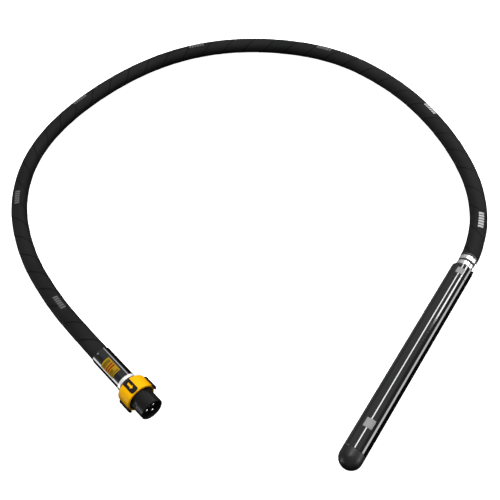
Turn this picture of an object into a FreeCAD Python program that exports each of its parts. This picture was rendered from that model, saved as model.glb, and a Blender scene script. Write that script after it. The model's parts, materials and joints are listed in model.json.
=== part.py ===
import FreeCAD, Part
import math
import os

from FreeCAD import Vector

# Concrete vibrator: an eccentric-shaft motor in a steel head, a rubber hose with the power
# cable inside it, and a four-pin plug with a bayonet coupling ring.
# Millimetres. The head lies along Y, nose towards -Y, hose towards +Y, floor at Z = 0.
# The origin is on the floor under the middle of the head.

# ---- head, from nose to hose ----
HEAD_DIAMETER = 38.1
HEAD_LENGTH = 435.0
HEAD_RADIUS = HEAD_DIAMETER / 2
NOSE_TIP = -HEAD_LENGTH / 2
NOSE_CENTRE = NOSE_TIP + HEAD_RADIUS
NOSE_CAP_END = NOSE_CENTRE + 10.0
TUBE_END = 162.5
SHOULDER_START = 188.0
SHOULDER_END = 192.0
NECK_RING_LENGTH = 8.6
NECK_GASKET_END = 205.0
COLLAR_RING_END = 213.2
NECK_END = HEAD_LENGTH / 2
NECK_RING_RADIUS = 15.0
NECK_STUB_RADIUS = 11.0
NECK_STUB_BORE = 8.6
NIPPLE_FLANGE_START = NECK_END - 1.4
KEY_START = SHOULDER_END + 3.0
KEY_END = COLLAR_RING_END - 0.5
KEY_ROLL = 103.0
BORE_RADIUS = 16.0
SPIGOT_LENGTH = 16.0
STATIC_GAP = 0.03
RUNNING_GAP = 0.3

# ---- motor and eccentric ----
SHAFT_RADIUS = 7.5
SHAFT_SHOULDER_RADIUS = 8.5
SHAFT_THIN_RADIUS = 6.0
BIG_BEARING = {"bore": 7.5, "outer": 16.0, "width": 9.0, "ball": 2.38, "count": 9}
SMALL_BEARING = {"bore": 6.0, "outer": 12.0, "width": 6.0, "ball": 1.6, "count": 10}
LOWER_BEARING_Y = -166.0
MIDDLE_BEARING_Y = -36.0
UPPER_BEARING_Y = 109.0
CIRCLIPS = ((LOWER_BEARING_Y - BIG_BEARING["width"] / 2 - 1.3, SHAFT_RADIUS),
            (MIDDLE_BEARING_Y + BIG_BEARING["width"] / 2 + 0.1, SHAFT_RADIUS),
            (UPPER_BEARING_Y + SMALL_BEARING["width"] / 2 + 0.1, SHAFT_THIN_RADIUS))
WEIGHT_START = -150.0
WEIGHT_END = -52.0
WEIGHT_RADIUS = 14.3
WEIGHT_HUB_RADIUS = 10.6
WEIGHT_SEAT_RADIUS = 8.0
STATOR_START = -4.0
STATOR_END = 84.0
STATOR_BORE = 9.1
STATOR_SLOTS = 12
SLOT_PITCH_RADIUS = 12.4
SLOT_RADIUS = 1.45
COIL_LENGTH = 11.0
ROTOR_RADIUS = STATOR_BORE - RUNNING_GAP
ROTOR_BARS = 10
ROTOR_BAR_CIRCLE = 7.5
CARRIER_START = 103.0
CARRIER_END = 113.0
LEAD_RADIUS = 1.0
LEAD_CIRCLE = 13.9
SPLICE_CIRCLE = 8.0
LEAD_ANGLES = (45, 135, 225, 315)
HEAD_SPLICE_START = 140.0
HEAD_SPLICE_END = 150.0

# ---- hose and cable ----
HOSE_DIAMETER = 31.4
HOSE_BORE = 17.0
CABLE_DIAMETER = 12.0
CABLE_START = 168.0
HOSE_REST = HOSE_DIAMETER / 2 + 0.05
NIPPLE_GRIP = 16.0
NIPPLE_BORE_RADIUS = 6.4
NIPPLE_RADIUS = 7.9
BARB_RADIUS = 8.45

# ---- connector: distances along its own axis, from the rear of the ferrule ----
CONNECTOR_X = -442.5
CONNECTOR_Y = -264.2
CONNECTOR_HEADING = -13.1
CONNECTOR_ROLL = 6.0
FERRULE_RADIUS = 17.1
FERRULE_START = 2.0
FERRULE_END = 73.0
HOSE_INSERTION = 26.0
RIVET_ALONG = 6.0
RIVET_ROLL = 11.0
LABEL_START = 25.0
LABEL_END = 57.8
LABEL_SPAN = 69.0
LABEL_ROLL = 12.5
CABLE_SPLIT = 42.0
PLUG_SPLICE_START = 58.0
PLUG_SPLICE_END = 66.0
PLUG_SPLICE_CIRCLE = 6.0
PLUG_REAR = 54.0
INSERT_REAR = 100.0
COLLAR_END = 80.2
COLLAR_RADIUS = 17.8
SPACER_RADIUS = 18.4
SPACER_END = 83.4
RING_REAR = 84.8
RING_REAR_RADIUS = 20.3
RING_FULL = 88.4
RING_FRONT = 114.5
RING_RADIUS = 26.2
RING_WEB_END = 91.5
RING_SKIRT_BORE = 22.9
PLUG_NECK_RADIUS = 17.0
PLUG_SHOULDER_RADIUS = 20.9
PLUG_SHOULDER_END = 117.0
PLUG_RADIUS = 20.1
PLUG_FRONT = 143.3
RECESS_RADIUS = 15.5
RECESS_FLOOR = 119.0
RING_FIT = 0.08
GRIP_RADIUS = 29.5
GRIP_WIDTH = 12.0
GRIP_START = 91.4
GRIP_END = 118.0
GRIP_ANGLES = (90, 180, 270)
PANEL_WIDTH = 13.5
PANEL_END = 112.8
ARROW_START = 92.8
ARROW_NECK = 101.2
ARROW_TIP = 105.2
PIN_CIRCLE = 6.9
PIN_RADIUS = 2.4
PIN_SHANK_RADIUS = 2.05
PIN_TIP = 139.0
EARTH_PIN_TIP = 141.0
PIN_REAR = 92.0
PIN_CUP_END = 97.5
PIN_CUP_RADIUS = 1.9
PIN_ANGLES = (0, 90, 270)
EARTH_PIN_ANGLE = 180
PLUG_SEAL_START = 60.0
KEY_ANGLES = (42, 180, 318)
CONNECTOR_HEIGHT = GRIP_RADIUS


def rod(radius, start, end):
    """A cylinder on the Y axis."""
    return Part.makeCylinder(radius, end - start, Vector(0, start, 0), Vector(0, 1, 0))


def tube(outer, inner, start, end):
    return rod(outer, start, end).cut(rod(inner, start - 1, end + 1))


def turned(profile, sweep=360):
    """Turn a closed outline about the Y axis from +X; each point is (distance along Y, radius)."""
    points = [Vector(radius, along, 0) for along, radius in profile]
    face = Part.Face(Part.makePolygon(points + points[:1]))
    return face.revolve(Vector(0, 0, 0), Vector(0, 1, 0), sweep)


def block(width, start, end, low, high):
    """A box centred on X = 0, from start to end along Y and from low to high in Z."""
    return Part.makeBox(width, end - start, high - low, Vector(-width / 2, start, low))


def rolled(shape, angle):
    """Roll a shape about the Y axis; positive goes from up towards +X."""
    copy = shape.copy()
    copy.rotate(Vector(0, 0, 0), Vector(0, 1, 0), angle)
    return copy


def around(shape, angles):
    return Part.makeCompound([rolled(shape, angle) for angle in angles])


def on_circle(radius, angle):
    turn = math.radians(angle)
    return radius * math.sin(turn), radius * math.cos(turn)


def copies_on_circle(shape, radius, angles):
    """Copies of a shape moved out from the axis, one at each angle."""
    copies = []
    for angle in angles:
        across, up = on_circle(radius, angle)
        copy = shape.copy()
        copy.translate(Vector(across, 0, up))
        copies.append(copy)
    return copies


def joined(shapes):
    """Fuse overlapping shapes into one solid."""
    whole = shapes[0].fuse(list(shapes[1:]))
    return whole.removeSplitter()


def in_head(shape):
    copy = shape.copy()
    copy.translate(Vector(0, 0, HEAD_RADIUS))
    return copy


def in_connector(shape):
    copy = rolled(shape, CONNECTOR_ROLL)
    copy.rotate(Vector(0, 0, 0), Vector(0, 0, 1), CONNECTOR_HEADING - 90)
    copy.translate(Vector(CONNECTOR_X, CONNECTOR_Y, CONNECTOR_HEIGHT))
    return copy


def connector_point(along):
    heading = math.radians(CONNECTOR_HEADING)
    return Vector(CONNECTOR_X + along * math.cos(heading),
                  CONNECTOR_Y + along * math.sin(heading),
                  CONNECTOR_HEIGHT)


# ---- cords ----

def rounded_path(points):
    """Straight runs joined by tangent arcs, each as large as its two runs allow."""
    edges = []
    radii = []
    last = points[0]
    for before, corner, after in zip(points, points[1:], points[2:]):
        back = (before - corner).normalize()
        ahead = (after - corner).normalize()
        turn = math.pi - back.getAngle(ahead)
        setback = 0.45 * min((before - corner).Length, (after - corner).Length)
        radius = setback / math.tan(turn / 2)
        inward = (back + ahead).normalize()
        middle = corner + inward * (radius / math.cos(turn / 2) - radius)
        start = corner + back * setback
        end = corner + ahead * setback
        edges.append(Part.LineSegment(last, start).toShape())
        edges.append(Part.Arc(start, middle, end).toShape())
        radii.append(radius)
        last = end
    edges.append(Part.LineSegment(last, points[-1]).toShape())
    return edges, radii


def swept(edges, radius):
    path = Part.Wire(edges)
    first = edges[0].Vertexes[0].Point
    direction = edges[0].tangentAt(edges[0].FirstParameter)
    ring = Part.Wire([Part.makeCircle(radius, first, direction)])
    return path.makePipeShell([ring], True, True), path.Length


HOSE_ROUTE = [
    Vector(0, NECK_END, HEAD_RADIUS),
    Vector(0, 243, HEAD_RADIUS),
    Vector(-8, 293, 18.4),
    Vector(-39, 352, 16.8),
    Vector(-88, 410, HOSE_REST),
    Vector(-186, 496, HOSE_REST),
    Vector(-322, 565, HOSE_REST),
    Vector(-487, 595, HOSE_REST),
    Vector(-657, 556, HOSE_REST),
    Vector(-791, 473, HOSE_REST),
    Vector(-878, 347, HOSE_REST),
    Vector(-924, 178, HOSE_REST),
    Vector(-911, 35, HOSE_REST),
    Vector(-838, -85, HOSE_REST),
    Vector(-725, -172, HOSE_REST),
    Vector(-597, -227, 22.0),
    connector_point(-50),
    connector_point(HOSE_INSERTION),
]


def hose_and_cable():
    edges, radii = rounded_path(HOSE_ROUTE)
    outside, length = swept(edges, HOSE_DIAMETER / 2)
    inside, _ = swept(edges, HOSE_BORE / 2)
    hose = outside.cut(inside)
    section = math.pi * (HOSE_DIAMETER ** 2 - HOSE_BORE ** 2) / 4
    print("hose arc radii:", [round(radius) for radius in radii])
    print("hose length:", round(length, 1), "volume / (section x length):",
          round(hose.Volume / (section * length), 5))
    lead_in = Part.LineSegment(Vector(0, CABLE_START, HEAD_RADIUS), HOSE_ROUTE[0]).toShape()
    lead_out = Part.LineSegment(HOSE_ROUTE[-1], connector_point(CABLE_SPLIT)).toShape()
    cable, cable_length = swept([lead_in] + edges + [lead_out], CABLE_DIAMETER / 2)
    print("cable length:", round(cable_length, 1), "volume / (section x length):",
          round(cable.Volume / (math.pi * CABLE_DIAMETER ** 2 / 4 * cable_length), 5))
    return hose, cable


def wires(routes, radius):
    """Thin insulated conductors along their own rounded routes."""
    return Part.makeCompound([swept(rounded_path(route)[0], radius)[0] for route in routes])


# ---- head shell ----

def nose_cap():
    dome = Part.makeSphere(HEAD_RADIUS, Vector(0, NOSE_CENTRE, 0), Vector(0, 1, 0), -90, 0, 360)
    spigot_end = NOSE_CAP_END + SPIGOT_LENGTH
    body = joined([dome, rod(HEAD_RADIUS, NOSE_CENTRE, NOSE_CAP_END),
                   rod(BORE_RADIUS - STATIC_GAP, NOSE_CAP_END, spigot_end)])
    pocket = rod(10.5, NOSE_CAP_END - 6, spigot_end + 1)
    return body.cut(pocket).cut(seal_groove(NOSE_CAP_END + 4))


def seal_groove(start):
    return tube(BORE_RADIUS + 1, BORE_RADIUS - 1.7, start, start + 2.6)


def o_ring(start):
    return tube(BORE_RADIUS - STATIC_GAP, BORE_RADIUS - 1.65, start + 0.1, start + 2.5)


def head_tube():
    inner_edge = 0.5
    return turned([(NOSE_CAP_END + 0.05, BORE_RADIUS), (NOSE_CAP_END + 0.05, HEAD_RADIUS - inner_edge),
                   (NOSE_CAP_END + 0.05 + inner_edge, HEAD_RADIUS),
                   (TUBE_END - inner_edge, HEAD_RADIUS), (TUBE_END, HEAD_RADIUS - inner_edge),
                   (TUBE_END, BORE_RADIUS)])


def top_adapter():
    spigot = TUBE_END - SPIGOT_LENGTH
    edge = 0.5
    body = turned([(spigot, 11.0), (spigot, BORE_RADIUS - STATIC_GAP),
                   (TUBE_END + 0.05, BORE_RADIUS - STATIC_GAP), (TUBE_END + 0.05, HEAD_RADIUS - edge),
                   (TUBE_END + 0.05 + edge, HEAD_RADIUS), (SHOULDER_START, HEAD_RADIUS),
                   (SHOULDER_END, NECK_RING_RADIUS + 0.6), (SHOULDER_END, NECK_STUB_RADIUS),
                   (NIPPLE_FLANGE_START - 0.1, NECK_STUB_RADIUS), (NIPPLE_FLANGE_START - 0.1, NECK_STUB_BORE),
                   (182, NECK_STUB_BORE), (182, 11.0)])
    return body.cut(seal_groove(spigot + 9))


def neck_ring(start, length):
    edge = 0.7
    inner = NECK_STUB_RADIUS + STATIC_GAP
    ring = turned([(start, inner), (start, NECK_RING_RADIUS - edge), (start + edge, NECK_RING_RADIUS),
                   (start + length - edge, NECK_RING_RADIUS),
                   (start + length, NECK_RING_RADIUS - edge), (start + length, inner)])
    return ring.cut(lock_key(0.05))


def lock_key(gap=0.0):
    """Anti-rotation key let into both neck rings."""
    bar = block(5 + 2 * gap, KEY_START - gap, KEY_END + gap, 12.6 - gap, 20)
    bar = bar.common(rod(HEAD_RADIUS - 0.6, KEY_START - 1, KEY_END + 1))
    return rolled(bar, KEY_ROLL)


def barbs(start, pitch, count):
    """Outline of hose barbs that ramp up from the hose's open end."""
    outline = []
    for index in range(count):
        foot = start + index * pitch
        outline += [(foot, NIPPLE_RADIUS), (foot + 3.0, BARB_RADIUS), (foot + 3.2, NIPPLE_RADIUS)]
    return outline


def hose_nipple():
    """Barbed tube with a flange that joins the hose to the neck."""
    rear = SHOULDER_END + 8
    flange_radius = 14.0
    stem = NECK_STUB_BORE - STATIC_GAP
    end = NECK_END + NIPPLE_GRIP
    return turned([(rear, NIPPLE_BORE_RADIUS), (rear, stem), (NIPPLE_FLANGE_START, stem),
                   (NIPPLE_FLANGE_START, flange_radius), (NECK_END - 0.05, flange_radius),
                   (NECK_END - 0.05, NIPPLE_RADIUS)] + barbs(NECK_END + 0.6, 3.8, 4) +
                  [(end, NIPPLE_RADIUS), (end, NIPPLE_BORE_RADIUS)])


def hose_collar_ring():
    return neck_ring(NECK_GASKET_END, COLLAR_RING_END - NECK_GASKET_END)


def hose_seat():
    """Rubber seat between the front ring and the hose's end, recessed for the nipple's flange."""
    body = tube(HOSE_DIAMETER / 2 - 0.3, NECK_STUB_RADIUS + STATIC_GAP, COLLAR_RING_END + 0.05, NECK_END)
    return body.cut(tube(14.05, NIPPLE_BORE_RADIUS, NIPPLE_FLANGE_START - 0.1, NECK_END + 1))


def cable_grommet():
    return tube(10.95, CABLE_DIAMETER / 2 + 0.05, 169.5, 181.5)


# ---- bearings ----

def bearing(size, centre):
    """Outer race, inner race, balls and cage of one ball bearing."""
    start, end = centre - size["width"] / 2, centre + size["width"] / 2
    pitch = (size["bore"] + size["outer"]) / 2
    land = size["ball"] * 0.58
    groove = Part.makeTorus(pitch, size["ball"] + 0.15, Vector(0, centre, 0), Vector(0, 1, 0))
    outer = tube(size["outer"] - STATIC_GAP, pitch + land, start, end).cut(groove)
    inner = tube(pitch - land, size["bore"] + STATIC_GAP, start, end).cut(groove)
    step = 360 / size["count"]
    angles = [index * step for index in range(size["count"])]
    balls = Part.makeCompound([Part.makeSphere(size["ball"], ball_place(pitch, centre, angle))
                               for angle in angles])
    half = size["ball"] + 0.8
    cage = tube(pitch + land * 0.6, pitch - land * 0.6, centre - half, centre + half)
    pocket = Part.makeCylinder(size["ball"] + 0.25, 6, Vector(0, centre, pitch - 3))
    for angle in angles:
        cage = cage.cut(rolled(pocket, angle))
    return outer, inner, balls, cage


def ball_place(pitch, centre, angle):
    across, up = on_circle(pitch, angle)
    return Vector(across, centre, up)


# ---- rotor ----

def rotor_shaft():
    lower = LOWER_BEARING_Y - BIG_BEARING["width"] / 2
    middle = MIDDLE_BEARING_Y - BIG_BEARING["width"] / 2
    upper = UPPER_BEARING_Y + SMALL_BEARING["width"] / 2
    profile = [(lower - 4, 0), (lower - 4, SHAFT_RADIUS - 0.5), (lower - 3.5, SHAFT_RADIUS),
               (LOWER_BEARING_Y + 4.6, SHAFT_RADIUS), (LOWER_BEARING_Y + 4.6, SHAFT_SHOULDER_RADIUS),
               (WEIGHT_START, SHAFT_SHOULDER_RADIUS), (WEIGHT_START, WEIGHT_SEAT_RADIUS),
               (WEIGHT_END, WEIGHT_SEAT_RADIUS),
               (WEIGHT_END, SHAFT_SHOULDER_RADIUS), (middle - 0.1, SHAFT_SHOULDER_RADIUS),
               (middle - 0.1, SHAFT_RADIUS), (STATOR_START - 8, SHAFT_RADIUS),
               (STATOR_START - 8, SHAFT_THIN_RADIUS), (upper + 3, SHAFT_THIN_RADIUS), (upper + 3, 0)]
    grooves = [circlip_place(position, 0.05) for position in CIRCLIPS]
    return turned(profile).cut(grooves + [weight_key(0.02)])


def circlip_place(position, gap=0.0):
    start, radius = position
    return tube(radius + 1.4, radius - 0.5, start - gap, start + 1.1 + gap)


def circlips():
    """Open retaining rings on the shaft, one beside each bearing."""
    clips = []
    for position in CIRCLIPS:
        clip = circlip_place(position)
        clips.append(clip.cut(block(3.4, position[0] - 1, position[0] + 3, 0, 12)))
    return Part.makeCompound(clips)


def weight_key(gap=0.0):
    return block(3 + 2 * gap, -120 - gap, -84 + gap, 6.4, 9.4 + gap)


def eccentric_weight():
    """Half-round weight with two full hubs, heavy side down at rest."""
    heavy = rod(WEIGHT_RADIUS, WEIGHT_START + 0.1, WEIGHT_END - 0.1)
    heavy = heavy.common(block(40, WEIGHT_START, WEIGHT_END, -20, 0.5))
    hub = rod(WEIGHT_HUB_RADIUS, WEIGHT_START + 0.1, WEIGHT_END - 0.1)
    body = joined([heavy, hub]).cut(rod(WEIGHT_SEAT_RADIUS + STATIC_GAP, WEIGHT_START - 1, WEIGHT_END + 1))
    return body.cut(weight_key(0.04))


def rotor_bars(gap=0.0):
    bar = rod(0.9 + gap, STATOR_START - 2, STATOR_END + 2)
    return copies_on_circle(bar, ROTOR_BAR_CIRCLE, [index * 360 / ROTOR_BARS for index in range(ROTOR_BARS)])


def rotor_core():
    core = tube(ROTOR_RADIUS, SHAFT_THIN_RADIUS + STATIC_GAP, STATOR_START, STATOR_END)
    return core.cut(rotor_bars(0.03))


def rotor_cage():
    rings = [tube(8.5, SHAFT_THIN_RADIUS + STATIC_GAP, STATOR_START - 4, STATOR_START - 0.02),
             tube(8.5, SHAFT_THIN_RADIUS + STATIC_GAP, STATOR_END + 0.02, STATOR_END + 4)]
    return joined(rings + rotor_bars())


# ---- stator ----

def slot_rods(radius, start, end):
    angles = [index * 360 / STATOR_SLOTS for index in range(STATOR_SLOTS)]
    return copies_on_circle(rod(radius, start, end), SLOT_PITCH_RADIUS, angles)


def stator_core():
    core = tube(BORE_RADIUS - STATIC_GAP, STATOR_BORE, STATOR_START, STATOR_END)
    return core.cut(slot_rods(SLOT_RADIUS, STATOR_START - 1, STATOR_END + 1))


def stator_winding():
    ends = [tube(14.9, 10.0, STATOR_START - COIL_LENGTH, STATOR_START - 0.1),
            tube(14.9, 10.0, STATOR_END + 0.1, STATOR_END + COIL_LENGTH)]
    return joined(ends + slot_rods(SLOT_RADIUS - 0.05, STATOR_START - 1, STATOR_END + 1))


def shaft_seal():
    """Lip seal that keeps bearing grease out of the motor."""
    start = MIDDLE_BEARING_Y + BIG_BEARING["width"] / 2 + 3
    return turned([(start, SHAFT_RADIUS + RUNNING_GAP), (start, BORE_RADIUS - STATIC_GAP),
                   (start + 7, BORE_RADIUS - STATIC_GAP), (start + 7, 13.5), (start + 2, 13.5),
                   (start + 2, 10.0), (start + 5, SHAFT_RADIUS + 1.2),
                   (start + 3, SHAFT_RADIUS + RUNNING_GAP)])


def spacer(start, end):
    return tube(BORE_RADIUS - STATIC_GAP, 15.0, start + 0.05, end - 0.05)


def bearing_carrier():
    """Bulkhead that holds the upper bearing and lets the motor leads through."""
    outer = SMALL_BEARING["outer"]
    body = turned([(CARRIER_START, 9.5), (CARRIER_START, BORE_RADIUS - STATIC_GAP),
                   (CARRIER_END, BORE_RADIUS - STATIC_GAP), (CARRIER_END, outer),
                   (CARRIER_START + 2, outer), (CARRIER_START + 2, 9.5)])
    hole = rod(LEAD_RADIUS + 0.2, CARRIER_START - 1, CARRIER_END + 1)
    return body.cut(copies_on_circle(hole, LEAD_CIRCLE, LEAD_ANGLES))


def wave_washer():
    return tube(11.8, 9.6, CARRIER_START + 2.1, CARRIER_START + 2.9)


def thermal_cutout():
    body = block(9, CARRIER_END + 3.2, CARRIER_END + 15, -2, 2)
    leg = block(1.2, CARRIER_END + 15, CARRIER_END + 20, -0.4, 0.4)
    return joined([body] + copies_on_circle(leg, 2.5, (90, 270)))


def motor_lead_routes():
    routes = []
    for angle in LEAD_ANGLES:
        far = on_circle(LEAD_CIRCLE, angle)
        near = on_circle(SPLICE_CIRCLE, angle)
        stations = [(STATOR_END + COIL_LENGTH, far), (HEAD_SPLICE_START - 20, far),
                    (HEAD_SPLICE_START - 8, near), (HEAD_SPLICE_START, near)]
        routes.append([Vector(across, along, up) for along, (across, up) in stations])
    return routes


def splices(circle, start, end):
    return Part.makeCompound(copies_on_circle(rod(1.95, start, end), circle, LEAD_ANGLES))


def core_routes(sheath, straight, joint, circle):
    """Cable cores fanning out from the sheath's end to a circle of joints."""
    routes = []
    for angle in LEAD_ANGLES:
        near = on_circle(3.0, angle)
        far = on_circle(circle, angle)
        stations = [(sheath, near), (sheath + straight, near), (joint - straight, far), (joint, far)]
        routes.append([Vector(across, along, up) for along, (across, up) in stations])
    return routes


def pin_lead_routes():
    routes = []
    for angle, turn in zip(LEAD_ANGLES, (90, 180, 270, 0)):
        near = on_circle(PLUG_SPLICE_CIRCLE, angle)
        far = on_circle(PIN_CIRCLE, turn)
        stations = [(PLUG_SPLICE_END, near), (PLUG_SPLICE_END + 6, near),
                    (PIN_REAR - 8, far), (PIN_REAR, far)]
        routes.append([Vector(across, along, up) for along, (across, up) in stations])
    return routes


# ---- connector ----

def ferrule():
    edge = 0.6
    return turned([(FERRULE_START, HOSE_DIAMETER / 2 + STATIC_GAP), (FERRULE_START, FERRULE_RADIUS - edge),
                   (FERRULE_START + edge, FERRULE_RADIUS), (FERRULE_END - edge, FERRULE_RADIUS),
                   (FERRULE_END, FERRULE_RADIUS - edge), (FERRULE_END, 13.0), (34, 13.0), (34, 15.2),
                   (HOSE_INSERTION + 1.4, 15.2), (HOSE_INSERTION + 1.4, 14.2),
                   (HOSE_INSERTION + 0.02, 14.2), (HOSE_INSERTION + 0.02, HOSE_DIAMETER / 2 + STATIC_GAP)])


def rivet():
    """Small domed rivet through the ferrule into the hose end."""
    shank = Part.makeCylinder(1.2, 2.4, Vector(0, RIVET_ALONG, FERRULE_RADIUS - 2.2))
    dome = Part.makeSphere(1.9, Vector(0, RIVET_ALONG, FERRULE_RADIUS - 0.9))
    dome = dome.common(block(6, RIVET_ALONG - 4, RIVET_ALONG + 4, FERRULE_RADIUS - 0.15, FERRULE_RADIUS + 2))
    return rolled(joined([shank, dome]), RIVET_ROLL)


def connector_nipple():
    """Barbed tube with a flange, facing the other way into the hose's far end."""
    flange = HOSE_INSERTION + 0.05
    end = flange + 1.25
    outline = [(2 * HOSE_INSERTION - along, radius) for along, radius in barbs(HOSE_INSERTION + 1.6, 4.2, 5)]
    return turned([(2.0, NIPPLE_BORE_RADIUS), (2.0, NIPPLE_RADIUS)] + outline[::-1] +
                  [(flange, NIPPLE_RADIUS), (flange, 14.1), (end, 14.1), (end, NIPPLE_BORE_RADIUS)])


def screw_collar():
    edge = 1.0
    return turned([(FERRULE_END + 0.05, 13.0), (FERRULE_END + 0.05, COLLAR_RADIUS - edge),
                   (FERRULE_END + 0.05 + edge, COLLAR_RADIUS), (COLLAR_END - edge, COLLAR_RADIUS),
                   (COLLAR_END, COLLAR_RADIUS - edge), (COLLAR_END, 13.0)])


def plug_body():
    """Rear spigot, neck that the ring turns on, shoulder and open barrel."""
    edge = 0.8
    web = RING_WEB_END + RUNNING_GAP
    body = turned([(PLUG_REAR, 10.5), (PLUG_REAR, 12.95), (COLLAR_END + 0.05, 12.95),
                   (COLLAR_END + 0.05, PLUG_NECK_RADIUS),
                   (web, PLUG_NECK_RADIUS), (web, PLUG_SHOULDER_RADIUS),
                   (PLUG_SHOULDER_END - edge, PLUG_SHOULDER_RADIUS),
                   (PLUG_SHOULDER_END, PLUG_RADIUS), (PLUG_FRONT - edge, PLUG_RADIUS),
                   (PLUG_FRONT, PLUG_RADIUS - edge), (PLUG_FRONT, RECESS_RADIUS + edge),
                   (PLUG_FRONT - edge, RECESS_RADIUS), (INSERT_REAR, RECESS_RADIUS), (INSERT_REAR, 13.0),
                   (INSERT_REAR - 4, 10.5)])
    slot = block(7, PLUG_SHOULDER_END - 9, PLUG_SHOULDER_END + 9, PLUG_RADIUS - 1.6, PLUG_RADIUS + 3)
    seal_seat = tube(13.5, 11.7, PLUG_SEAL_START - 0.05, PLUG_SEAL_START + 2.45)
    return body.cut([rolled(slot, angle) for angle in KEY_ANGLES] + [seal_seat])


def plug_seal():
    return tube(12.93, 11.75, PLUG_SEAL_START, PLUG_SEAL_START + 2.4)


def contact_insert():
    body = rod(RECESS_RADIUS - STATIC_GAP, INSERT_REAR + 0.05, RECESS_FLOOR)
    hole = rod(PIN_SHANK_RADIUS + STATIC_GAP, INSERT_REAR - 1, RECESS_FLOOR + 1)
    return body.cut(copies_on_circle(hole, PIN_CIRCLE, PIN_ANGLES + (EARTH_PIN_ANGLE,)))


def contact_pin(tip):
    """Round pin with a bullet nose, on a thinner shank that ends in a solder cup."""
    nose = 1.2
    shoulder = RECESS_FLOOR + 0.02
    return turned([(PIN_REAR, 0), (PIN_REAR, PIN_CUP_RADIUS), (PIN_CUP_END, PIN_CUP_RADIUS),
                   (PIN_CUP_END, PIN_SHANK_RADIUS), (shoulder, PIN_SHANK_RADIUS),
                   (shoulder, PIN_RADIUS), (tip - nose, PIN_RADIUS),
                   (tip - nose / 4, PIN_RADIUS - nose * 0.75), (tip, PIN_RADIUS - nose * 1.5),
                   (tip, 0)])


def contact_pins():
    """Three phase pins and a longer earth pin, which meets its socket first."""
    pins = copies_on_circle(contact_pin(PIN_TIP), PIN_CIRCLE, PIN_ANGLES)
    earth = copies_on_circle(contact_pin(EARTH_PIN_TIP), PIN_CIRCLE, (EARTH_PIN_ANGLE,))
    return Part.makeCompound(pins + earth)


def ring_spacer():
    return tube(SPACER_RADIUS, PLUG_NECK_RADIUS + STATIC_GAP, COLLAR_END + 0.05, SPACER_END)


def ring_wave_washer():
    return tube(SPACER_RADIUS, PLUG_NECK_RADIUS + STATIC_GAP, SPACER_END + 0.05, SPACER_END + 0.95)


def ring_outside(offset):
    """Solid of the ring's outer form: a rounded rear shoulder, a cylinder and a soft front edge."""
    rear, full, front = RING_REAR, RING_FULL, RING_FRONT
    radius = RING_RADIUS + offset
    rear_radius = RING_REAR_RADIUS + offset
    knee = 0.7071
    edge = 1.0
    arc_middle = Vector(rear_radius + (radius - rear_radius) * knee,
                        full - (full - rear - offset) * knee, 0)
    outline = [
        Part.LineSegment(Vector(0, rear, 0), Vector(rear_radius, rear, 0)).toShape(),
        Part.Arc(Vector(rear_radius, rear, 0), arc_middle, Vector(radius, full, 0)).toShape(),
        Part.LineSegment(Vector(radius, full, 0), Vector(radius, front - edge, 0)).toShape(),
        Part.LineSegment(Vector(radius, front - edge, 0), Vector(radius - edge, front, 0)).toShape(),
        Part.LineSegment(Vector(radius - edge, front, 0), Vector(0, front, 0)).toShape(),
        Part.LineSegment(Vector(0, front, 0), Vector(0, rear, 0)).toShape(),
    ]
    face = Part.Face(Part.Wire(outline))
    return face.revolve(Vector(0, 0, 0), Vector(0, 1, 0), 360)


def grip_bar(inner):
    """One raised grip: sloped at the rear, rounded over at the front."""
    bar = turned([(GRIP_START, inner), (GRIP_START + 3, GRIP_RADIUS), (GRIP_END - 1.8, GRIP_RADIUS),
                  (GRIP_END, GRIP_RADIUS - 1.8), (GRIP_END, inner)])
    return bar.common(block(GRIP_WIDTH, RING_REAR, GRIP_END + 1, 0, GRIP_RADIUS + 1))


def panel_prism(width, start, end):
    """Upright prism with a rounded front end, used to cut the arrow panel's outline."""
    radius = width * 0.30
    straight = block(width, start, end - radius, 0, 40)
    middle = block(width - 2 * radius, start, end, 0, 40)
    corners = []
    for side in (-1, 1):
        corner = Part.makeCylinder(radius, 40, Vector(side * (width / 2 - radius), end - radius, 0))
        corners.append(corner)
    return joined([straight, middle] + corners)


def arrow_prism():
    """Plain arrow pointing to the front of the plug."""
    stem, barb = 1.75, 3.6
    points = [(-stem, ARROW_START), (-stem, ARROW_NECK), (-barb, ARROW_NECK), (0, ARROW_TIP),
              (barb, ARROW_NECK), (stem, ARROW_NECK), (stem, ARROW_START)]
    corners = [Vector(across, along, 0) for across, along in points]
    face = Part.Face(Part.makePolygon(corners + corners[:1]))
    return face.extrude(Vector(0, 0, 40))


def arrow_panel():
    shell = ring_outside(0.7).cut(ring_outside(-0.8))
    return shell.common(panel_prism(PANEL_WIDTH, RING_REAR - 1, PANEL_END)).cut(arrow_prism())


def arrow_mark():
    shell = ring_outside(0.9).cut(ring_outside(-0.7))
    return shell.common(arrow_prism())


def coupling_ring():
    body = ring_outside(0).cut(rod(PLUG_NECK_RADIUS + RING_FIT, RING_REAR - 1, RING_FRONT + 1))
    body = body.cut(rod(RING_SKIRT_BORE, RING_WEB_END, RING_FRONT + 1))
    lug = tube(RING_SKIRT_BORE + 1, PLUG_SHOULDER_RADIUS + 0.5, 104, 108.5)
    lug = lug.common(block(9, 103, 110, 0, 30))
    body = joined([body] + [rolled(lug, angle + 45) for angle in KEY_ANGLES])
    body = body.cut(ring_grips())
    return body.cut(panel_prism(PANEL_WIDTH, RING_REAR - 1, PANEL_END).cut(ring_outside(-0.8)))


def ring_grips():
    return around(grip_bar(RING_RADIUS - 0.8), GRIP_ANGLES)


def ferrule_label():
    """Thin blank sticker wrapped part of the way round the ferrule."""
    inside, outside = FERRULE_RADIUS + 0.01, FERRULE_RADIUS + 0.25
    sticker = turned([(LABEL_START, inside), (LABEL_START, outside), (LABEL_END, outside),
                      (LABEL_END, inside)], LABEL_SPAN)
    return rolled(sticker, LABEL_ROLL - 90 - LABEL_SPAN / 2)


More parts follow.
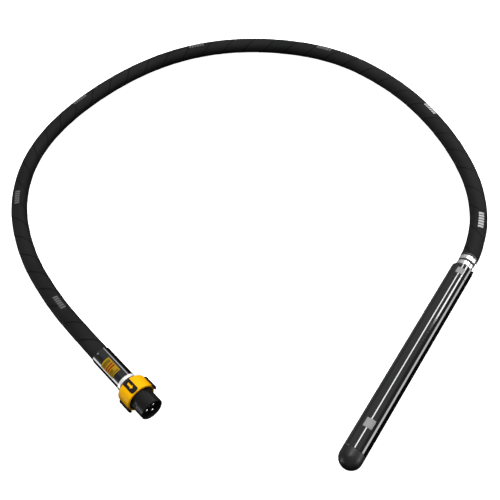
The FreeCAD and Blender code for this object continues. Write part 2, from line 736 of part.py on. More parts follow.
def all_parts():
    hose, cable = hose_and_cable()
    spigot = TUBE_END - SPIGOT_LENGTH
    second_ring = SHOULDER_END + 0.05
    gasket_start = second_ring + NECK_RING_LENGTH
    head = {
        "nose_cap": nose_cap(),
        "head_orings": Part.makeCompound([o_ring(NOSE_CAP_END + 4), o_ring(spigot + 9)]),
        "head_tube": head_tube(),
        "top_adapter": top_adapter(),
        "neck_lock_ring": neck_ring(second_ring, NECK_RING_LENGTH),
        "neck_gasket": tube(NECK_RING_RADIUS - 0.9, NECK_STUB_RADIUS + STATIC_GAP, gasket_start + 0.02,
                            NECK_GASKET_END - 0.02).cut(lock_key(0.05)),
        "hose_collar_ring": hose_collar_ring(),
        "hose_seat": hose_seat(),
        "anti_rotation_key": lock_key(),
        "hose_nipple": hose_nipple(),
        "cable_grommet": cable_grommet(),
        "rotor_shaft": rotor_shaft(),
        "eccentric_weight": eccentric_weight(),
        "weight_key": weight_key(),
        "shaft_circlips": circlips(),
        "rotor_core": rotor_core(),
        "rotor_cage": rotor_cage(),
        "stator_core": stator_core(),
        "stator_winding": stator_winding(),
        "shaft_seal": shaft_seal(),
        "stator_spacer": spacer(-21.4, STATOR_START),
        "carrier_spacer": spacer(STATOR_END, CARRIER_START),
        "bearing_carrier": bearing_carrier(),
        "bearing_wave_washer": wave_washer(),
        "thermal_cutout": thermal_cutout(),
        "motor_leads": wires(motor_lead_routes(), LEAD_RADIUS),
        "head_splices": splices(SPLICE_CIRCLE, HEAD_SPLICE_START, HEAD_SPLICE_END),
        "head_cable_cores": wires(core_routes(CABLE_START, -4, HEAD_SPLICE_END, SPLICE_CIRCLE), LEAD_RADIUS),
    }
    bearings = (("lower", BIG_BEARING, LOWER_BEARING_Y), ("middle", BIG_BEARING, MIDDLE_BEARING_Y),
                ("upper", SMALL_BEARING, UPPER_BEARING_Y))
    for name, size, centre in bearings:
        pieces = bearing(size, centre)
        for piece, shape in zip(("outer_race", "inner_race", "balls", "cage"), pieces):
            head[f"{name}_bearing_{piece}"] = shape
    connector = {
        "ferrule": ferrule(),
        "ferrule_rivet": rivet(),
        "ferrule_label": ferrule_label(),
        "connector_nipple": connector_nipple(),
        "connector_cable_cores": wires(core_routes(CABLE_SPLIT, 4, PLUG_SPLICE_START, PLUG_SPLICE_CIRCLE),
                                       LEAD_RADIUS),
        "connector_splices": splices(PLUG_SPLICE_CIRCLE, PLUG_SPLICE_START, PLUG_SPLICE_END),
        "pin_leads": wires(pin_lead_routes(), LEAD_RADIUS),
        "screw_collar": screw_collar(),
        "plug_body": plug_body(),
        "ring_spacer": ring_spacer(),
        "plug_seal": plug_seal(),
        "contact_insert": contact_insert(),
        "contact_pins": contact_pins(),
        "ring_wave_washer": ring_wave_washer(),
        "coupling_ring": coupling_ring(),
        "ring_grips": ring_grips(),
        "arrow_panel": arrow_panel(),
        "arrow_mark": arrow_mark(),
    }
    parts = {"hose": hose, "power_cable": cable}
    parts.update({name: in_head(shape) for name, shape in head.items()})
    parts.update({name: in_connector(shape) for name, shape in connector.items()})
    return parts


def main():
    os.makedirs("parts", exist_ok=True)
    for name, shape in all_parts().items():
        problems = "" if shape.isValid() else " NOT VALID"
        print(f"{name}: {len(shape.Solids)} solids, {shape.Volume / 1000:.2f} cm3{problems}")
        shape.exportStep(f"parts/{name}.step")


main()
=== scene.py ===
import json
import math

import bmesh
import bpy
from mathutils import Matrix, Vector


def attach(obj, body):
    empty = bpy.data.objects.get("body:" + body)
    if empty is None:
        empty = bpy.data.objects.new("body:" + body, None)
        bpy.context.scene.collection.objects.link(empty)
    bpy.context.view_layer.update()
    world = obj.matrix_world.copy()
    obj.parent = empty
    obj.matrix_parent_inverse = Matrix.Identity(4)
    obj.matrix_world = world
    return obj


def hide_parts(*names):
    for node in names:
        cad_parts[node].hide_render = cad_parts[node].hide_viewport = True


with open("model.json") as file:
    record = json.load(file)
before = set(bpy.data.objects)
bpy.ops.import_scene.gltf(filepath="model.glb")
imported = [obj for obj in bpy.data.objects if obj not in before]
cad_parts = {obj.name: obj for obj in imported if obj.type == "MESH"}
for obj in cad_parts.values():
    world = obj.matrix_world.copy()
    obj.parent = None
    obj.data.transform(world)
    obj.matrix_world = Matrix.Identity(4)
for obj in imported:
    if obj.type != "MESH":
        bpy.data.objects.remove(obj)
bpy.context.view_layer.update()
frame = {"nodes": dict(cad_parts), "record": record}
nodes = frame["nodes"]

# Metres throughout. The head lies along Y with its nose towards -Y; the floor is Z = 0.
UP = Vector((0, 0, 1))
HEAD_AXIS = Vector((0, 1, 0))
PLUG_MOUNT = next(mount for mount in frame["record"]["mounts"] if mount["name"] == "plug_barrel")
PIN_AXIS = Vector(PLUG_MOUNT["axis"])
PIN_POINT = Vector(PLUG_MOUNT["pos_m"])


# ---- camera ----

CAMERA_PLACE = (0.2003, -0.5322, 1.076)
CAMERA_RIGHT = Vector((0.8226, 0.5554, -0.1222))
CAMERA_UP = Vector((-0.3901, 0.7075, 0.5893))


def make_camera():
    """Looks down on the loop from beyond the nose, rolled a little."""
    camera = bpy.data.cameras.new("camera")
    camera.lens = 52.0
    camera.sensor_width = 36.0
    camera.clip_end = 20.0
    turn = Matrix((CAMERA_RIGHT, CAMERA_UP, CAMERA_RIGHT.cross(CAMERA_UP))).transposed()
    thing = bpy.data.objects.new("camera", camera)
    thing.matrix_world = Matrix.Translation(CAMERA_PLACE) @ turn.to_4x4()
    bpy.context.scene.collection.objects.link(thing)
    bpy.context.scene.camera = thing


make_camera()


# ---- the hose's route, from the neck of the head to inside the ferrule ----

HOSE_DIAMETER = 0.0314
HOSE_RADIUS = HOSE_DIAMETER / 2
HOSE_ROUTE = [
    (0.0, 0.2175, 0.01905),
    (0.0, 0.236, 0.01905),
    (-0.0205, 0.3125, 0.0175),
    (-0.0780, 0.4017, 0.01575),
    (-0.1864, 0.4943, 0.01575),
    (-0.3220, 0.5637, 0.01575),
    (-0.4868, 0.5955, 0.01575),
    (-0.6563, 0.5557, 0.01575),
    (-0.7891, 0.4714, 0.01575),
    (-0.8765, 0.3463, 0.01575),
    (-0.9210, 0.1780, 0.01575),
    (-0.9089, 0.0345, 0.01575),
    (-0.8379, -0.0851, 0.01575),
    (-0.7232, -0.1718, 0.01575),
    (-0.5955, -0.2245, 0.022),
    (-0.4912, -0.25287, 0.0295),
    (-0.41718, -0.27009, 0.0295),
]


def spline_points(route):
    """Points read from a smooth NURBS spline that has the route as its control points."""
    curve = bpy.data.curves.new("route", "CURVE")
    curve.dimensions = "3D"
    spline = curve.splines.new("NURBS")
    spline.points.add(len(route) - 1)
    for point, place in zip(spline.points, route):
        point.co = (*place, 1.0)
    spline.order_u = 3
    spline.use_endpoint_u = True
    spline.resolution_u = 60
    thing = bpy.data.objects.new("route", curve)
    bpy.context.scene.collection.objects.link(thing)
    bpy.context.view_layer.update()
    line = bpy.data.meshes.new_from_object(thing)
    places = [vertex.co.copy() for vertex in line.vertices]
    bpy.data.objects.remove(thing)
    return places


class Line:
    """A centreline that can be asked for its point and its frame at any distance along it."""

    def __init__(self, places):
        self.places = places
        self.along = [0.0]
        for before, after in zip(places, places[1:]):
            self.along.append(self.along[-1] + (after - before).length)
        self.length = self.along[-1]
        self.index = 0

    def point(self, distance):
        if distance < self.along[self.index]:
            self.index = 0
        while self.index < len(self.along) - 2 and self.along[self.index + 1] < distance:
            self.index += 1
        start, end = self.along[self.index], self.along[self.index + 1]
        share = (distance - start) / (end - start)
        return self.places[self.index].lerp(self.places[self.index + 1], share)

    def frame(self, distance):
        """Point, direction, sideways (to the outside of the loop) and upwards."""
        step = 0.002
        ahead = self.point(min(self.length, distance + step))
        behind = self.point(max(0.0, distance - step))
        direction = (ahead - behind).normalized()
        side = direction.cross(UP).normalized()
        return self.point(distance), direction, side, side.cross(direction)


# ---- mesh helpers ----

def add_piece(name, bm, materials, body="root"):
    """Turns the mesh being built into a smooth object that rides on a body."""
    mesh = bpy.data.meshes.new(name)
    bm.normal_update()
    bm.to_mesh(mesh)
    bm.free()
    for polygon in mesh.polygons:
        polygon.use_smooth = True
    thing = bpy.data.objects.new(name, mesh)
    for material in materials:
        mesh.materials.append(material)
    bpy.context.scene.collection.objects.link(thing)
    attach(thing, body)
    return thing


ROUTE_MAP = "route"


def rings_round(bm, line, radius_at, stations, sides):
    """A ring of vertices round the line at each station, sized by radius_at(distance, turn)."""
    rings = []
    for distance in stations:
        centre, _, side, up = line.frame(distance)
        ring = []
        for index in range(sides):
            angle = 2 * math.pi * index / sides
            outward = math.cos(angle) * up + math.sin(angle) * side
            ring.append(bm.verts.new(centre + radius_at(distance, index / sides) * outward))
        rings.append(ring)
    return rings


def hose_surface(bm, line, stations, sides):
    """The hose's outer skin; its UV map holds turns round and metres along."""
    layer = bm.loops.layers.uv.new(ROUTE_MAP)
    rings = rings_round(bm, line, wrap_radius, stations, sides)
    for row in range(len(rings) - 1):
        for index in range(sides):
            after = (index + 1) % sides
            face = bm.faces.new((rings[row][index], rings[row + 1][index],
                                 rings[row + 1][after], rings[row][after]))
            corners = ((index, row), (index, row + 1), (index + 1, row + 1), (index + 1, row))
            for loop, (turn, station) in zip(face.loops, corners):
                loop[layer].uv = (turn / sides, stations[station])
    return rings


HOSE_STEP = 0.0022
HOSE_SIDES = 96
WRAP_SPACING = 0.050
WRAP_STARTS = 2
WRAP_STEP = 0.00028
WRAP_DROP = 0.035       # share of a wrap's spacing over which its edge falls
LIP_SPREAD = 0.03       # share of a wrap's spacing that the edge's raised lip takes
LIP_HEIGHT = 0.35       # height of that lip, as a share of the step


def wrap_radius(distance, turn):
    """The curing tape leaves a shallow two-start helical step: a slow rise, then a drop."""
    phase = (distance / WRAP_SPACING + WRAP_STARTS * turn) % 1.0
    if phase < WRAP_DROP:
        height = 1.0 - phase / WRAP_DROP
    else:
        height = (phase - WRAP_DROP) / (1.0 - WRAP_DROP)
    lip = math.exp(-((phase - 1.0) / LIP_SPREAD) ** 2) + math.exp(-(phase / LIP_SPREAD) ** 2)
    return HOSE_RADIUS - WRAP_STEP + WRAP_STEP * (height + LIP_HEIGHT * lip)


def even_stations(line, step):
    """Distances along the line, evenly spaced from end to end."""
    count = int(line.length / step)
    return [line.length * index / count for index in range(count + 1)]


def bridge(bm, first, second, flip=False):
    """Quads between two rings of the same number of vertices."""
    count = len(first)
    for index in range(count):
        after = (index + 1) % count
        corners = [first[index], first[after], second[after], second[index]]
        if flip:
            corners.reverse()
        bm.faces.new(corners)


HOSE_BORE_RADIUS = 0.0085
BORE_EVERY = 8          # the bore has one ring for this many of the outside's


def make_hose(line, material):
    """The hose with its wrap lines outside, a plain bore inside and flat ends."""
    bm = bmesh.new()
    stations = even_stations(line, HOSE_STEP)
    outer = hose_surface(bm, line, stations, HOSE_SIDES)
    inner = rings_round(bm, line, lambda distance, turn: HOSE_BORE_RADIUS,
                        stations[::BORE_EVERY] + stations[-1:], HOSE_SIDES)
    for before, after in zip(inner, inner[1:]):
        bridge(bm, before, after)
    bridge(bm, outer[0], inner[0])
    bridge(bm, outer[-1], inner[-1], flip=True)
    return add_piece("rubber_hose", bm, [material])


CABLE_RADIUS = 0.006
CABLE_STEP = 0.01
CABLE_SIDES = 24


def make_cable(places, material):
    """The power cable inside the hose, a plain closed tube."""
    line = Line(places)
    bm = bmesh.new()
    rings = rings_round(bm, line, lambda distance, turn: CABLE_RADIUS,
                        even_stations(line, CABLE_STEP), CABLE_SIDES)
    for before, after in zip(rings, rings[1:]):
        bridge(bm, before, after, flip=True)
    bm.faces.new(rings[0])
    bm.faces.new(list(reversed(rings[-1])))
    return add_piece("inner_cable", bm, [material])


def patch(bm, place, width, length, corner, thickness, columns=14, rows=8, material=0):
    """A thin rounded rectangle laid on a surface. place(across, along, height) gives a point."""
    grids = []
    for height in (thickness, -thickness):
        grid = []
        for column in range(columns + 1):
            across = -0.5 * width * math.cos(math.pi * column / columns)
            inset = max(0.0, abs(across) - (0.5 * width - corner))
            half = 0.5 * length - (corner - math.sqrt(max(0.0, corner ** 2 - inset ** 2)))
            grid.append([bm.verts.new(place(across, half * (2 * row / rows - 1), height))
                         for row in range(rows + 1)])
        grids.append(grid)
    top, bottom = grids
    for column in range(columns):
        for row in range(rows):
            for grid, flip in ((top, False), (bottom, True)):
                corners = [grid[column][row], grid[column + 1][row],
                           grid[column + 1][row + 1], grid[column][row + 1]]
                if flip:
                    corners.reverse()
                bm.faces.new(corners).material_index = material
    edge_top = border(top)
    edge_bottom = border(bottom)
    for index in range(len(edge_top)):
        after = (index + 1) % len(edge_top)
        corners = (edge_top[index], edge_bottom[index], edge_bottom[after], edge_top[after])
        bm.faces.new(corners).material_index = material


def border(grid):
    """The outline of a grid of vertices, in order."""
    bottom = [column[0] for column in grid]
    right = grid[-1][1:]
    top = [column[-1] for column in reversed(grid[:-1])]
    left = list(reversed(grid[0][1:-1]))
    return bottom + right + top + left


MARK_FIRST = 0.078
MARK_SPACING = 0.3027
MARK_ROLLS = (13, 24, 6, 4, 8, -2, -16)
MARK_WIDTH = 0.0100
BARS_PER_MARK = 6
BAR_PITCH = 0.0060
BAR_LENGTH = 0.0044
BAR_CORNER = 0.0006
BAR_THICKNESS = 0.00006
FRESH_MARKS = 2


def make_hose_marks(line, fresh, worn):
    """Blank printed marks, each a row of small bars; those after the first few are worn."""
    bm = bmesh.new()
    for index, degrees in enumerate(MARK_ROLLS):
        for bar in range(BARS_PER_MARK):
            from_middle = (bar - (BARS_PER_MARK - 1) / 2) * BAR_PITCH
            centre = MARK_FIRST + index * MARK_SPACING + from_middle

            def place(across, along, height):
                distance = centre + along
                roll = math.radians(degrees) + across / HOSE_RADIUS
                point, _, side, up = line.frame(distance)
                radius = wrap_radius(distance, roll / (2 * math.pi)) + BAR_THICKNESS + height
                return point + radius * (math.cos(roll) * up + math.sin(roll) * side)

            material = 0 if index < FRESH_MARKS else 1
            patch(bm, place, MARK_WIDTH, BAR_LENGTH, BAR_CORNER, BAR_THICKNESS, 12, 4, material)
    bmesh.ops.recalc_face_normals(bm, faces=bm.faces)
    return add_piece("hose_marks", bm, [fresh, worn])


def on_cylinder(origin, axis, radius, roll, station):
    """A place function for a patch on a cylinder; roll goes from up towards axis x up."""
    side = axis.cross(UP).normalized()

    def place(across, along, height):
        angle = roll + across / radius
        outward = math.cos(angle) * UP + math.sin(angle) * side
        return origin + (station + along) * axis + (radius + height) * outward

    return place


# ---- materials ----

def new_material(name):
    material = bpy.data.materials.new(name)
    material.use_nodes = True
    tree = material.node_tree
    shader = tree.nodes["Principled BSDF"]
    return material, tree, shader


def texture_place(tree, scale=(1, 1, 1), uv_map=None):
    """Object or UV coordinates, scaled."""
    if uv_map:
        start = tree.nodes.new("ShaderNodeUVMap")
        start.uv_map = uv_map
        output = start.outputs["UV"]
    else:
        start = tree.nodes.new("ShaderNodeTexCoord")
        output = start.outputs["Object"]
    mapping = tree.nodes.new("ShaderNodeMapping")
    mapping.inputs["Scale"].default_value = scale
    tree.links.new(output, mapping.inputs["Vector"])
    return mapping.outputs["Vector"]


def noise(tree, vector, scale, detail=4.0, roughness=0.55):
    node = tree.nodes.new("ShaderNodeTexNoise")
    node.inputs["Scale"].default_value = scale
    node.inputs["Detail"].default_value = detail
    node.inputs["Roughness"].default_value = roughness
    tree.links.new(vector, node.inputs["Vector"])
    return node.outputs["Fac"]


def remap(tree, value, low, high, to_low, to_high):
    node = tree.nodes.new("ShaderNodeMapRange")
    node.inputs["From Min"].default_value = low
    node.inputs["From Max"].default_value = high
    node.inputs["To Min"].default_value = to_low
    node.inputs["To Max"].default_value = to_high
    tree.links.new(value, node.inputs["Value"])
    return node.outputs["Result"]


def math_node(tree, operation, first, second=None):
    node = tree.nodes.new("ShaderNodeMath")
    node.operation = operation
    for socket, value in zip(node.inputs, (first, second)):
        if value is None:
            continue
        if isinstance(value, (int, float)):
            socket.default_value = value
        else:
            tree.links.new(value, socket)
    return node.outputs["Value"]


def ramp(tree, value, stops):
    node = tree.nodes.new("ShaderNodeValToRGB")
    elements = node.color_ramp.elements
    while len(elements) < len(stops):
        elements.new(0.5)
    for element, (position, colour) in zip(elements, stops):
        element.position = position
        element.color = (*colour, 1.0)
    tree.links.new(value, node.inputs["Fac"])
    return node.outputs["Color"]


def bump(tree, shader, height, distance, strength=1.0, after=None):
    node = tree.nodes.new("ShaderNodeBump")
    node.inputs["Strength"].default_value = strength
    node.inputs["Distance"].default_value = distance
    tree.links.new(height, node.inputs["Height"])
    if after is not None:
        tree.links.new(after, node.inputs["Normal"])
    tree.links.new(node.outputs["Normal"], shader.inputs["Normal"])
    return node.outputs["Normal"]


def grey(value):
    return (value, value, value)


WEAVE_THREADS = 110
WEAVE_PITCH = 0.0009


def hose_rubber():
    """Wrap-cured rubber: cloth imprint, painted shade darkening the wrap step's drop, and a cloudy
    tone.
    """
    material, tree, shader = new_material("hose_rubber")
    turns_and_metres = texture_place(tree, uv_map=ROUTE_MAP)
    split = tree.nodes.new("ShaderNodeSeparateXYZ")
    tree.links.new(turns_and_metres, split.inputs["Vector"])
    turns, metres = split.outputs["X"], split.outputs["Y"]
    wraps = math_node(tree, "DIVIDE", metres, WRAP_SPACING)
    starts = math_node(tree, "MULTIPLY", turns, WRAP_STARTS)
    phase = math_node(tree, "FRACT", math_node(tree, "ADD", wraps, starts))
    # Painted shade: the colour falls to near black in a thin band at the wrap step's drop, where
    # the crease is shaded.
    step_shade = ramp(tree, phase, [(0.0, grey(0.0)), (0.03, grey(0.25)), (0.07, grey(1.0)),
                             (0.96, grey(1.0)), (1.0, grey(0.15))])
    around = math_node(tree, "MULTIPLY", turns, 2 * math.pi * WEAVE_THREADS)
    along = math_node(tree, "MULTIPLY", metres, 2 * math.pi / WEAVE_PITCH)
    weave = math_node(tree, "MULTIPLY", math_node(tree, "SINE", around),
                      math_node(tree, "SINE", along))
    spots = texture_place(tree)
    cloud = noise(tree, spots, 9.0, 5.0)
    grain = noise(tree, spots, 900.0, 3.0)
    tone = ramp(tree, cloud, [(0.3, (0.0068, 0.0068, 0.0070)), (0.75, (0.0135, 0.0135, 0.0138))])
    shade = tree.nodes.new("ShaderNodeMix")
    shade.data_type = "RGBA"
    shade.blend_type = "MULTIPLY"
    shade.inputs["Factor"].default_value = 0.95
    tree.links.new(tone, shade.inputs["A"])
    tree.links.new(step_shade, shade.inputs["B"])
    tree.links.new(shade.outputs["Result"], shader.inputs["Base Color"])
    tree.links.new(remap(tree, cloud, 0.25, 0.75, 0.60, 0.74), shader.inputs["Roughness"])
    shader.inputs["Specular IOR Level"].default_value = 0.10
    first = bump(tree, shader, weave, 0.00004, 0.5)
    bump(tree, shader, grain, 0.00005, 0.5, after=first)
    return material


def printed_ink(name, colour, worn=0.25, specular=0.3):
    """Thin printed ink, a little broken up by the surface under it."""
    material, tree, shader = new_material(name)
    spots = texture_place(tree)
    breakup = noise(tree, spots, 700.0, 4.0)
    dull = tuple(channel * (1 - worn) for channel in colour)
    tone = ramp(tree, breakup, [(0.30, dull), (0.62, colour)])
    tree.links.new(tone, shader.inputs["Base Color"])
    shader.inputs["Roughness"].default_value = 0.55
    shader.inputs["Specular IOR Level"].default_value = specular
    bump(tree, shader, breakup, 0.00003, 0.4)
    return material


def metal(name, colour, rough, line_scale, line_depth, stretch=(1, 60, 1), vary=0.05, metallic=1.0):
    """Turned or ground metal: fine lines, with a cloudy tone and roughness."""
    material, tree, shader = new_material(name)
    shader.inputs["Metallic"].default_value = metallic
    lines = noise(tree, texture_place(tree, stretch), line_scale, 2.0, 0.5)
    spots = texture_place(tree)
    cloud = noise(tree, spots, 22.0, 5.0)
    dark = tuple(channel * (1 - vary) for channel in colour)
    tone = ramp(tree, cloud, [(0.3, dark), (0.7, colour)])
    tree.links.new(tone, shader.inputs["Base Color"])
    roughness = remap(tree, cloud, 0.2, 0.8, rough * 0.75, rough * 1.3)
    tree.links.new(roughness, shader.inputs["Roughness"])
    bump(tree, shader, lines, line_depth, 0.35)
    return material


def satin_black_steel():
    """Hardened nose: blackened and satin, with a cloudy tone."""
    material, tree, shader = new_material("nose_black")
    spots = texture_place(tree)
    cloud = noise(tree, spots, 60.0, 6.0, 0.6)
    fine = noise(tree, spots, 1400.0, 3.0)
    tone = ramp(tree, cloud, [(0.25, grey(0.008)), (0.8, grey(0.018))])
    tree.links.new(tone, shader.inputs["Base Color"])
    shader.inputs["Metallic"].default_value = 0.35
    tree.links.new(remap(tree, cloud, 0.2, 0.8, 0.36, 0.48), shader.inputs["Roughness"])
    bump(tree, shader, fine, 0.00003, 0.5)
    return material


def moulded(name, colour, rough, grain_scale=1500.0, grain_depth=0.00004, vary=0.12, specular=0.5):
    """Moulded plastic with a fine spark-eroded grain and a slight mottle."""
    material, tree, shader = new_material(name)
    spots = texture_place(tree)
    cloud = noise(tree, spots, 45.0, 4.0)
    grain = noise(tree, spots, grain_scale, 3.0, 0.6)
    dark = tuple(channel * (1 - vary) for channel in colour)
    tone = ramp(tree, cloud, [(0.3, dark), (0.7, colour)])
    tree.links.new(tone, shader.inputs["Base Color"])
    roughness = remap(tree, cloud, 0.2, 0.8, rough * 0.88, rough * 1.15)
    tree.links.new(roughness, shader.inputs["Roughness"])
    shader.inputs["Specular IOR Level"].default_value = specular
    bump(tree, shader, grain, grain_depth, 0.45)
    return material


def banded(name, colour, gap_colour, pitch, axis, metallic, rough):
    """Fine bands across an axis, for laminations and windings."""
    material, tree, shader = new_material(name)
    split = tree.nodes.new("ShaderNodeSeparateXYZ")
    tree.links.new(texture_place(tree), split.inputs["Vector"])
    angle = math_node(tree, "MULTIPLY", split.outputs[axis], 2 * math.pi / pitch)
    wave = math_node(tree, "SINE", angle)
    tone = ramp(tree, remap(tree, wave, -1, 1, 0, 1), [(0.1, gap_colour), (0.4, colour)])
    tree.links.new(tone, shader.inputs["Base Color"])
    shader.inputs["Metallic"].default_value = metallic
    cloud = noise(tree, texture_place(tree), 80.0)
    roughness = remap(tree, cloud, 0.2, 0.8, rough * 0.8, rough * 1.2)
    tree.links.new(roughness, shader.inputs["Roughness"])
    bump(tree, shader, wave, 0.00005, 0.6)
    return material


MATERIALS = {
    "hose_rubber": hose_rubber(),
    "nose_black": satin_black_steel(),
    "dark_chrome": metal("dark_chrome", (0.085, 0.085, 0.086), 0.07, 55.0, 0.000002, vary=0.10),
    "bright_steel": metal("bright_steel", (0.88, 0.88, 0.89), 0.25, 60.0, 0.00002, metallic=0.95),
    "plated_collar": metal("plated_collar", (0.90, 0.90, 0.91), 0.34, 60.0, 0.00002, vary=0.04,
                           metallic=0.45),
    "turned_steel": metal("turned_steel", (0.50, 0.50, 0.51), 0.28, 60.0, 0.00004, vary=0.08),
    "spring_steel": metal("spring_steel", (0.30, 0.30, 0.31), 0.30, 90.0, 0.00002, (1, 1, 1)),
    "weight_steel": metal("weight_steel", (0.22, 0.22, 0.225), 0.38, 50.0, 0.00006, vary=0.15),
    "bearing_steel": metal("bearing_steel", (0.62, 0.62, 0.64), 0.12, 60.0, 0.00001),
    "cage_brass": metal("cage_brass", (0.62, 0.42, 0.14), 0.30, 80.0, 0.00002, (1, 1, 1)),
    "cast_aluminium": metal("cast_aluminium", (0.56, 0.56, 0.57), 0.42, 120.0, 0.00008, (1, 1, 1)),
    "splice_metal": metal("splice_metal", (0.60, 0.59, 0.56), 0.34, 90.0, 0.00003, (1, 1, 1)),
    "contact_silver": metal("contact_silver", (0.92, 0.92, 0.93), 0.24, 60.0, 0.00001),
    "lamination": banded("lamination", grey(0.28), grey(0.08), 0.0005, "Y", 1.0, 0.4),
    "copper_wire": banded("copper_wire", (0.46, 0.17, 0.06), (0.12, 0.04, 0.015), 0.0007, "Y",
                          0.6, 0.35),
    "seal_rubber": moulded("seal_rubber", grey(0.012), 0.55, 900.0),
    "cable_rubber": moulded("cable_rubber", grey(0.022), 0.55, 700.0),
    "lead_insulation": moulded("lead_insulation", (0.32, 0.03, 0.025), 0.42),
    "label_vinyl": moulded("label_vinyl", (0.31, 0.19, 0.004), 0.34, 500.0, 0.00001, specular=0.1),
    "black_plastic": moulded("black_plastic", grey(0.006), 0.40, specular=0.2),
    "yellow_plastic": moulded("yellow_plastic", (0.86, 0.42, 0.0), 0.34, 1100.0, 0.00003, 0.05,
                              specular=0.08),
}
MARK_INK = printed_ink("mark_ink", grey(0.42))
WORN_INK = printed_ink("worn_mark_ink", grey(0.10), 0.5)
ETCH_GREY = printed_ink("etch_grey", grey(0.225), 0.12)
LABEL_RED = printed_ink("label_red", (0.22, 0.012, 0.004), 0.12, 0.08)
LABEL_OCHRE = printed_ink("label_ochre", (0.14, 0.085, 0.004), 0.10, 0.08)


def finish_nodes():
    """Every CAD node takes the material of its slot."""
    for part in frame["record"]["subparts"]:
        material = MATERIALS[part["material_slot"]]
        thing = nodes[part["node"]]
        thing.data.materials.clear()
        thing.data.materials.append(material)


# ---- the hose and what is on it ----

route_points = spline_points(HOSE_ROUTE)
hose_line = Line(route_points)
hose = make_hose(hose_line, MATERIALS["hose_rubber"])
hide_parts("hose")

CABLE_TAIL = 0.048
CABLE_HEAD = 0.016
cable = make_cable([route_points[0] - CABLE_TAIL * HEAD_AXIS] + route_points
                   + [route_points[-1] + CABLE_HEAD * PIN_AXIS], MATERIALS["cable_rubber"])
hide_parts("power_cable")

marks = make_hose_marks(hose_line, MARK_INK, WORN_INK)


# ---- etched patches on the head ----

HEAD_RADIUS = 0.01905
HEAD_CENTRE = Vector((0, 0, HEAD_RADIUS))
ETCH_CORNER = 0.0004
ETCH_THICKNESS = 0.00006


def make_head_patch(name, width, length, station, roll):
    """A blank etched rectangle on the head, station metres along it from its origin."""
    bm = bmesh.new()
    place = on_cylinder(HEAD_CENTRE, HEAD_AXIS, HEAD_RADIUS, roll, station)
    patch(bm, place, width, length, ETCH_CORNER, ETCH_THICKNESS)
    bmesh.ops.recalc_face_normals(bm, faces=bm.faces)
    piece = add_piece(name, bm, [ETCH_GREY])


make_head_patch("etched_patch_nose", 0.0155, 0.0160, -0.1437, math.radians(4))
make_head_patch("etched_patch_neck", 0.0130, 0.0120, 0.1740, math.radians(3.5))


# ---- print on the ferrule's label ----

LABEL_RADIUS = 0.01735
REAR_TO_PIN_POINT = 0.130
FERRULE_REAR = PIN_POINT - REAR_TO_PIN_POINT * PIN_AXIS
LABEL_ROLL = math.radians(18.5)
PRINT_CORNER = 0.0003
PRINT_THICKNESS = 0.00004
RED, OCHRE = 0, 1
# Each item: width round the ferrule, length along it, station from its rear, offset round it, ink.
LABEL_ITEMS = (
    (0.0178, 0.0028, 0.0386, 0.0, RED),
    (0.0178, 0.0028, 0.0436, 0.0, RED),
    (0.0172, 0.0068, 0.0312, 0.0, OCHRE),
    (0.0100, 0.0052, 0.0497, 0.0035, OCHRE),
    (0.0168, 0.0024, 0.0549, 0.0, OCHRE),
)


def make_label_print():
    """Two red bars and plain blocks; no lettering."""
    bm = bmesh.new()
    for width, length, station, across, ink in LABEL_ITEMS:
        roll = LABEL_ROLL + across / LABEL_RADIUS
        place = on_cylinder(FERRULE_REAR, PIN_AXIS, LABEL_RADIUS, roll, station)
        patch(bm, place, width, length, PRINT_CORNER, PRINT_THICKNESS, material=ink)
    bmesh.ops.recalc_face_normals(bm, faces=bm.faces)
    piece = add_piece("label_print", bm, [LABEL_RED, LABEL_OCHRE])


make_label_print()
finish_nodes()


# ---- floor, light and background ----

FLOOR_GLOW = 1.0
FLOOR_HALF = 400.0
FLOOR_DROP = 0.0002


def make_floor():
    """White and glowing, so shadows vanish; the object neither reflects it nor is lit by it."""
    bm = bmesh.new()
    corners = ((-1, -1), (1, -1), (1, 1), (-1, 1))
    bm.faces.new([bm.verts.new((x * FLOOR_HALF, y * FLOOR_HALF, -FLOOR_DROP)) for x, y in corners])
    mesh = bpy.data.meshes.new("floor")
    bm.to_mesh(mesh)
    bm.free()
    floor = bpy.data.objects.new("floor", mesh)
    material, tree, shader = new_material("floor")
    cloud = noise(tree, texture_place(tree), 1.5, 2.0)
    tone = ramp(tree, cloud, [(0.3, grey(0.86)), (0.7, grey(0.88))])
    tree.links.new(tone, shader.inputs["Base Color"])
    shader.inputs["Roughness"].default_value = 0.9
    shader.inputs["Specular IOR Level"].default_value = 0.1
    shader.inputs["Emission Color"].default_value = (1.0, 1.0, 1.0, 1.0)
    shader.inputs["Emission Strength"].default_value = FLOOR_GLOW
    mesh.materials.append(material)
    bpy.context.scene.collection.objects.link(floor)
    floor.visible_glossy = False
    floor.visible_diffuse = False


def make_light(name, place, target, width, length, power, diffuse=True, glossy=True):
    """A soft rectangular light; its long side lies along Y."""
    light = bpy.data.lights.new(name, "AREA")
    light.shape = "RECTANGLE"
    light.size = width
    light.size_y = length
    light.energy = power
    thing = bpy.data.objects.new(name, light)
    away = (Vector(place) - Vector(target)).normalized()
    across = HEAD_AXIS.cross(away).normalized()
    turn = Matrix((across, away.cross(across), away)).transposed()
    thing.matrix_world = Matrix.Translation(place) @ turn.to_4x4()
    thing.visible_camera = False
    thing.visible_diffuse = diffuse
    thing.visible_glossy = glossy
    bpy.context.scene.collection.objects.link(thing)


STRIP_MIDDLE = 0.85
STRIP_LENGTH = 2.4


def strip(name, angle, distance, width, radiance, middle=STRIP_MIDDLE, length=STRIP_LENGTH):
    """A long light beside the head, turned from straight up towards +X: a line on the metal."""
    turn = math.radians(angle)
    place = HEAD_CENTRE + Vector((distance * math.sin(turn), middle, distance * math.cos(turn)))
    target = HEAD_CENTRE + Vector((0, middle, 0))
    power = radiance * width * length * math.pi
    make_light(name, place, target, width, length, power, diffuse=False)


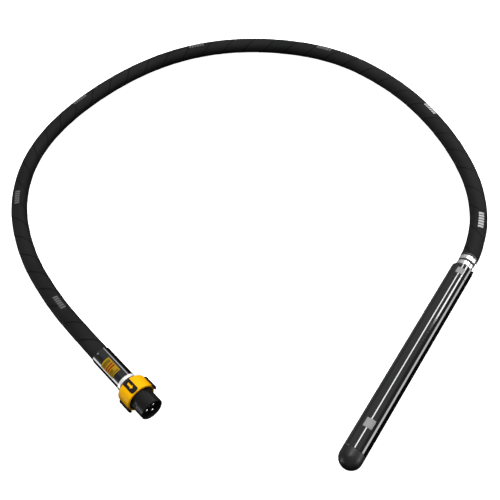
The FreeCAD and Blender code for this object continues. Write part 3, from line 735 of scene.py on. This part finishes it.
# Bright and dark cards in the surroundings, there for the reflections.
# Each has a direction, the cosines where it starts and where it is full, and a brightness.
CARDS = (
    ((-0.617, -0.430, 0.658), 0.90, 0.97, 0.24),
    ((-0.880, 0.300, -0.360), 0.75, 0.88, 0.30),
    ((-0.700, -0.700, -0.140), 0.978, 0.991, 8.0),
    ((-0.306, 0.903, 0.301), 0.995, 0.998, 6.0),
    ((0.745, 0.500, 0.430), 0.93, 0.97, 0.20),
)

# The world's dark lower half starts this far under the horizon, where the floor hides the change.
HORIZON_DROP = 0.04


def make_world():
    """Mid-grey surroundings above the floor and dark ones below, with the cards over them."""
    world = bpy.data.worlds.new("studio")
    world.use_nodes = True
    tree = world.node_tree
    background = tree.nodes["Background"]
    direction = tree.nodes.new("ShaderNodeTexCoord").outputs["Generated"]
    split = tree.nodes.new("ShaderNodeSeparateXYZ")
    tree.links.new(direction, split.inputs["Vector"])
    above = math_node(tree, "ADD", split.outputs["Z"], HORIZON_DROP)
    tone = ramp(tree, above, [(0.0, grey(0.02)), (0.012, grey(0.46))])
    for centre, start, full, brightness in CARDS:
        toward = tree.nodes.new("ShaderNodeVectorMath")
        toward.operation = "DOT_PRODUCT"
        toward.inputs[1].default_value = Vector(centre).normalized()
        tree.links.new(direction, toward.inputs[0])
        share = remap(tree, toward.outputs["Value"], start, full, 0.0, 1.0)
        mix = tree.nodes.new("ShaderNodeMix")
        mix.data_type = "RGBA"
        tree.links.new(share, mix.inputs["Factor"])
        tree.links.new(tone, mix.inputs["A"])
        mix.inputs["B"].default_value = (*grey(brightness), 1.0)
        tone = mix.outputs["Result"]
    tree.links.new(tone, background.inputs["Color"])
    background.inputs["Strength"].default_value = 1.0
    bpy.context.scene.world = world


make_floor()
make_world()
make_light("key", (-0.3, 0.9, 2.6), (-0.4, 0.1, 0.0), 2.4, 2.4, 95.0, glossy=False)
make_light("fill", (-2.5, -0.9, 0.9), (-0.36, -0.28, 0.03), 1.5, 1.5, 14.0, glossy=False)
strip("strip_line", -5.7, 1.7, 0.28, 12.0)
strip("strip_band", 86.5, 1.6, 0.60, 5.2)
strip("strip_neck", 35.0, 1.7, 0.42, 13.0, 1.555, 1.05)
bpy.context.scene.view_settings.view_transform = "Standard"
